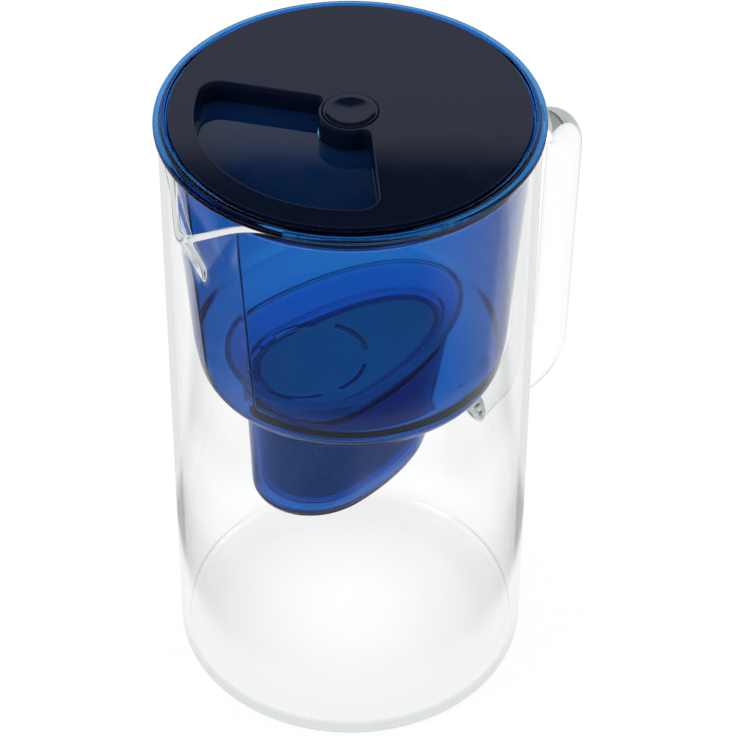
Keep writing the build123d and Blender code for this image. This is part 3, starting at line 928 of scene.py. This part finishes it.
lid_shape = plate([circle_points(lid_radius, 256), fan_outline(0.0, collar_radius), circle_points(bore_radius, 96)],
                  plate_low, lid_top, 0.35)
pocket_outlines = [fan_outline(pocket_wall, collar_radius - 0.5), fan_outline(0.02, collar_radius)]
add_parts(lid_shape, plate(pocket_outlines, pocket_low, joined_z, 0.0, 0.3),
          tube(collar_radius - 0.02, bore_radius, web_z[0], joined_z),
          tube(skirt_radius, skirt_radius - 1.8, skirt_low, joined_z, skirt_ring, 256),
          slotted_web(), hinge_lug(6.8), hinge_lug(-4.3))
make_piece("lid_disc", lid_shape, "lid", lid_navy, ["lid_cover"], crease=30)

# %% [markdown]
# ## The button and the flap
# The button is a cap with a soft edge, level with the lid. A blade under it reaches through the web, and a slot in
# the blade holds the flap's cross pin, so a push swings the flap down. The flap closes the foot of the pocket: its
# plate follows the pocket's outline, a little wider, and two bent arms run back under the web to the hinge pin.
# Blade and arms are flat shapes seen from the side, so each is drawn lying down as a plate and then stood up.

# %% The button
button_top = button_high.z
button_radius = button_high.y
button_skirt_low = button_top - 6.6
button_wall = 1.5
stem_radius = 3.0
stem_low = button_top - 7.2
blade_top = button_top - 4.4


def button_cap():
    edge = 0.6
    outer = arc_points((button_radius - edge, button_top - edge), edge, 0, 90, 6)
    under = button_top - 2.0
    inside = button_radius - button_wall
    profile = [(0.3, stem_low), (stem_radius, stem_low), (stem_radius, under), (inside, under)]
    profile += [(inside, button_skirt_low), (button_radius, button_skirt_low)] + outer
    profile += [(button_radius - 2.5, button_top - 0.02), (4.0, button_top - 0.08), (0.3, button_top - 0.1)]
    return ring_stack(flat_rings(profile), 120)


def button_blade():
    outline = rectangle(-2.6, 3.67, button_low.z, blade_top)
    return upright_plate([outline, rectangle(-1.2, 2.27, hinge_z - 1.2, hinge_z + 1.2)], 3.0, 0.2, 1.5)


button = button_cap()
add_parts(button, button_blade())
make_piece("button_cap", button, "button", lid_navy, ["push_button"], crease=35)

# %% The flap
plate_back = -collar_radius - 0.4
ear_radius = 2.5
ear_bore = 1.33
boss_radius = 1.3
arm_width = 2.1


def flap_arm(y_high):
    """A bent arm of the flap, with its round ear on the hinge pin and a small boss for the cross pin."""
    ear_meets = math.degrees(math.asin(1.0 / ear_radius))
    boss_meets = math.degrees(math.asin(1.0 / boss_radius))
    outline = [(plate_back - 3.0, hinge_z - 1.0)]
    outline += arc_points((0.0, hinge_z), boss_radius, 180 + boss_meets, 360 - boss_meets, 8)
    outline += arc_points((hinge_x, hinge_z), ear_radius, 180 + ear_meets, 540 - ear_meets, 28)
    outline += arc_points((0.0, hinge_z), boss_radius, boss_meets, 180 - boss_meets, 8)
    outline += [(plate_back, hinge_z + 1.0), (plate_back, flap_high.z - 1.0), (plate_back - 3.0, flap_high.z - 1.0)]
    return upright_plate([outline, circle_points(ear_bore, 32, (hinge_x, hinge_z))], arm_width, 0.2, y_high)


flap = plate([fan_outline(1.3, collar_radius + 0.4)], flap_high.z - 2.0, flap_high.z, 0.25, 0.25)
cross_pin = upright_plate([circle_points(1.0, 32, (0.0, hinge_z))], 7.8, 0.1, 3.9)
add_parts(flap, flap_arm(4.0), flap_arm(-1.9), cross_pin)
make_piece("flap_plate", flap, "flap", flap_navy, ["fill_flap"], crease=30)

# %% [markdown]
# ## Pieces that keep their working shape
# The seal, the filling and the pin are inside the pitcher and barely show. Their working shapes are right as they
# are, so they only get their finish: soft rubber, felt, packed grains, woven mesh and drawn steel. The spring is
# replaced by a copy with a mesh of its own, hung on the lid.

# %% A plain textured finish for the inner pieces
def textured(name, colour, second_colour, scale, roughness, depth, pattern="NOISE", **sockets):
    """Two close colours and a bump from one pattern: noise for felt, cells for grains, waves for a weave."""
    material, tree, shader = new_material(name, Roughness=roughness, **sockets)
    place = object_place(tree)
    if pattern == "CELLS":
        value = add_texture(tree, "Voronoi", scale, place).outputs["Distance"]
    elif pattern == "WEAVE":
        waves = {direction: add_texture(tree, "Wave", scale, place) for direction in ("X", "Y")}
        for direction, wave in waves.items():
            wave.bands_direction = direction
        value = add_math(tree, "MAXIMUM", waves["X"].outputs["Fac"], waves["Y"].outputs["Fac"])
    else:
        value = add_noise(tree, scale, 6, place).outputs["Fac"]
    mix = tree.nodes.new("ShaderNodeMix")
    mix.data_type = "RGBA"
    mix.inputs["A"].default_value = (*colour, 1)
    mix.inputs["B"].default_value = (*second_colour, 1)
    tree.links.new(value, mix.inputs["Factor"])
    tree.links.new(mix.outputs["Result"], shader.inputs["Base Color"])
    add_bump(tree, value, depth)
    return material


inner_finishes = {
    "cartridge_seal": textured("seal_rubber", (0.62, 0.65, 0.68), (0.70, 0.72, 0.74), 300, 0.5, 0.05),
    "inlet_pad": textured("inlet_felt", (0.62, 0.64, 0.64), (0.85, 0.86, 0.85), 900, 0.9, 0.3),
    "filter_filling": textured("filter_grains", (0.35, 0.30, 0.26), (0.75, 0.68, 0.55), 1400, 0.7, 0.3, "CELLS"),
    "outlet_screen": textured("screen_mesh", (0.55, 0.58, 0.60), (0.88, 0.89, 0.90), 900, 0.6, 0.1, "WEAVE"),
    "button_spring": textured("spring_steel", (0.55, 0.56, 0.57), (0.66, 0.67, 0.68), 2500, 0.28, 0.01, Metallic=1.0),
    "flap_hinge_pin": textured("pin_steel", (0.60, 0.61, 0.62), (0.70, 0.71, 0.72), 2500, 0.22, 0.01, Metallic=1.0),
}
light_through_walls(inner_finishes["inlet_pad"], 4, (0.0, 0.36, 0.50))
for node in ("cartridge_seal", "filter_filling", "outlet_screen"):
    light_through_walls(inner_finishes[node], 4, (0.0, 0.10, 0.15))
for node, material in inner_finishes.items():
    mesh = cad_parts[node].data
    mesh.materials.clear()
    mesh.materials.append(material)
print("inner finishes:", ", ".join(inner_finishes))

# %% The spring, copied onto the lid
def shortening_spring():
    """A copy of the working spring with a mesh of its own, hung on the lid in its place."""
    spring = add_object("pressed_spring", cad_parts["button_spring"].data.copy())
    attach(spring, "lid")
    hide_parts("button_spring")
    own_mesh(spring)


shortening_spring()

# %% [markdown]
# ## Floor, light and camera
# The pitcher stands on plain white. Glass has no colour of its own, so it is drawn by what it bends and mirrors:
# around a clear jug a photographer keeps everything white and lets a few dark edges in. Here the world is white to
# the camera and through the glass, and in reflections it turns dark high up, which draws the soft line across the
# polished lid. The floor shows white too, with a share of real light on it that keeps the jug's shadow. Seen through
# the jug it carries a painted pool of light, and in reflections it shows painted pale patches around the jug.

# %% How bright a backdrop shows
def add_stops(tree, value, stops):
    """A level that follows a value along straight lines between stops, each a pair of a value and its level."""
    ramp = add_node(tree, "ValToRGB", value)
    for spare in ramp.color_ramp.elements[1:]:
        ramp.color_ramp.elements.remove(spare)
    for index, (position, level) in enumerate(stops):
        stop = ramp.color_ramp.elements.new(position) if index else ramp.color_ramp.elements[0]
        stop.position = position
        stop.color = (level, level, level, 1)
    return ramp.outputs["Color"]


def add_shown(tree, by_camera, through_glass, mirrored):
    """How bright a backdrop is to the camera, to light that came through glass, and to light that was mirrored."""
    path = add_node(tree, "LightPath")
    was_mirrored = add_math(tree, "GREATER_THAN", path.outputs["Glossy Depth"], 0.5)
    passing = add_math(tree, "MAXIMUM", path.outputs["Is Transmission Ray"], path.outputs["Is Glossy Ray"])
    direct = add_math(tree, "MULTIPLY", add_math(tree, "SUBTRACT", passing, was_mirrored), through_glass)
    direct = add_math(tree, "MAXIMUM", direct, 0.0)
    back = add_math(tree, "MULTIPLY", add_math(tree, "MULTIPLY", passing, was_mirrored), mirrored)
    seen = add_math(tree, "MULTIPLY", path.outputs["Is Camera Ray"], by_camera)
    seen = add_math(tree, "ADD", seen, add_math(tree, "ADD", direct, back))
    return seen, add_math(tree, "SUBTRACT", 1.0, add_math(tree, "MAXIMUM", passing, path.outputs["Is Camera Ray"]))


# %% The white world
mirror_edge = (0.612, 0.619)
mirror_levels = (0.62, 0.02)
light_level = 0.8


def build_world():
    world = bpy.data.worlds.new("white_studio")
    bpy.context.scene.world = world
    world.use_nodes = True
    tree = world.node_tree
    background = tree.nodes["Background"]
    direction = add_node(tree, "SeparateXYZ", add_node(tree, "TexCoord").outputs["Generated"])
    high = add_range(tree, direction.outputs["Z"], *mirror_edge, *mirror_levels)
    seen, others = add_shown(tree, 1.0, 1.0, high)
    strength = add_math(tree, "ADD", seen, add_math(tree, "MULTIPLY", others, light_level))
    tree.links.new(strength, background.inputs["Strength"])
    background.inputs["Color"].default_value = (1, 1, 1, 1)
    print("world:", world.name)


build_world()

# %% The floor
floor_half = 3.0
floor_z = -0.0003
floor_shown = 0.95
front = (-0.648, -0.7615, 0)
right = (0.7615, -0.648, 0)
# painted reflection: rings of brighter paper near the jug, which show only in mirrored light
painted_reflection_rings = ((0.04, 0.10), (0.05, 0.85), (0.085, 0.85), (0.095, 0.34), (0.12, 0.34), (0.135, 0.55), (0.165, 0.55),
              (0.19, 0.03))


def floor_levels_and_painted_light(tree):
    """The paper seen through the jug, with a painted pool of light under its middle and painted brightening beyond its
    foot, and as mirrored, with painted pale reflections near it, at its back and to its right.
    """
    place = object_place(tree)

    def measure(operation, direction=(0, 0, 0)):
        return add_node(tree, "VectorMath", place, direction, operation=operation).outputs["Value"]

    away = measure("LENGTH")
    # painted light: the paper seen through the glass is brightest under the jug's middle, as if its base gathered
    # light there, and brighter again beyond its foot
    under = add_range(tree, away, 0.012, 0.05, 1.12, 0.985)
    through = add_math(tree, "MAXIMUM", under, add_range(tree, away, 0.062, 0.08, 0.985, 1.09))
    # painted reflections: as mirrored, the paper is pale in rings near the jug, at its back and to its right, and dark
    # elsewhere
    near = add_stops(tree, away, painted_reflection_rings)
    painted_reflection_behind = add_range(tree, measure("DOT_PRODUCT", front), -0.07, -0.04, 0.70, 0.03)
    painted_reflection_beside = add_range(tree, measure("DOT_PRODUCT", right), 0.20, 0.26, 0.03, 0.30)
    return through, add_math(tree, "MAXIMUM", add_math(tree, "MAXIMUM", near, painted_reflection_behind), painted_reflection_beside)


def build_floor():
    material, tree, _ = new_material("white_floor", Base_Color=(0.06, 0.06, 0.06, 1), Roughness=0.9,
                                     Specular_IOR_Level=0.0)
    through, mirrored = floor_levels_and_painted_light(tree)
    glow(material, add_shown(tree, floor_shown, through, mirrored)[0], (1, 1, 1))
    bm = bmesh.new()
    bmesh.ops.create_grid(bm, x_segments=1, y_segments=1, size=floor_half)
    bmesh.ops.translate(bm, vec=(0, 0, floor_z), verts=bm.verts[:])
    mesh = finished_mesh("floor", bm)
    mesh.materials.append(material)
    return add_object("floor", mesh)


floor = build_floor()

# %% The lamps
panel_aim = Vector((0, 0, 0.15))


def add_panel(name, place, width, height, watts):
    """A soft panel of light that faces the pitcher and isn't mirrored in its dark lid."""
    lamp = bpy.data.lights.new(name, "AREA")
    lamp.shape = "RECTANGLE"
    lamp.size = width
    lamp.size_y = height
    lamp.energy = watts
    holder = add_object(name, lamp)
    holder.location = place
    holder.rotation_euler = (panel_aim - Vector(place)).to_track_quat("-Z", "Y").to_euler()
    holder.visible_glossy = False
    print(f"{name}: {watts} W")


add_panel("left_panel", (-1.1, 0.2, 0.75), 0.5, 0.9, 5)
add_panel("right_panel", (0.9, -0.75, 0.6), 0.4, 0.9, 4)

# %% The camera
def add_camera():
    look_at = Vector((0, 0, 0.126))
    distance = 1.1035
    azimuth = math.radians(-40.4)
    height = math.radians(42.0)
    focal_pixels = 3058.0
    frame_pixels = 736.0
    centre_offset_pixels = 17.7
    data = bpy.data.cameras.new("camera")
    data.sensor_width = 36.0
    data.lens = data.sensor_width * focal_pixels / frame_pixels
    data.shift_x = centre_offset_pixels / frame_pixels
    camera = add_object("camera", data)
    out = Vector((math.sin(azimuth) * math.cos(height), -math.cos(azimuth) * math.cos(height), math.sin(height)))
    camera.location = look_at + distance * out
    camera.rotation_euler = (-out).to_track_quat("-Z", "Y").to_euler()
    bpy.context.scene.camera = camera
    print(f"camera: {data.lens:.0f} mm lens, {distance:.2f} m away")


add_camera()
bpy.context.scene.view_settings.view_transform = "Standard"
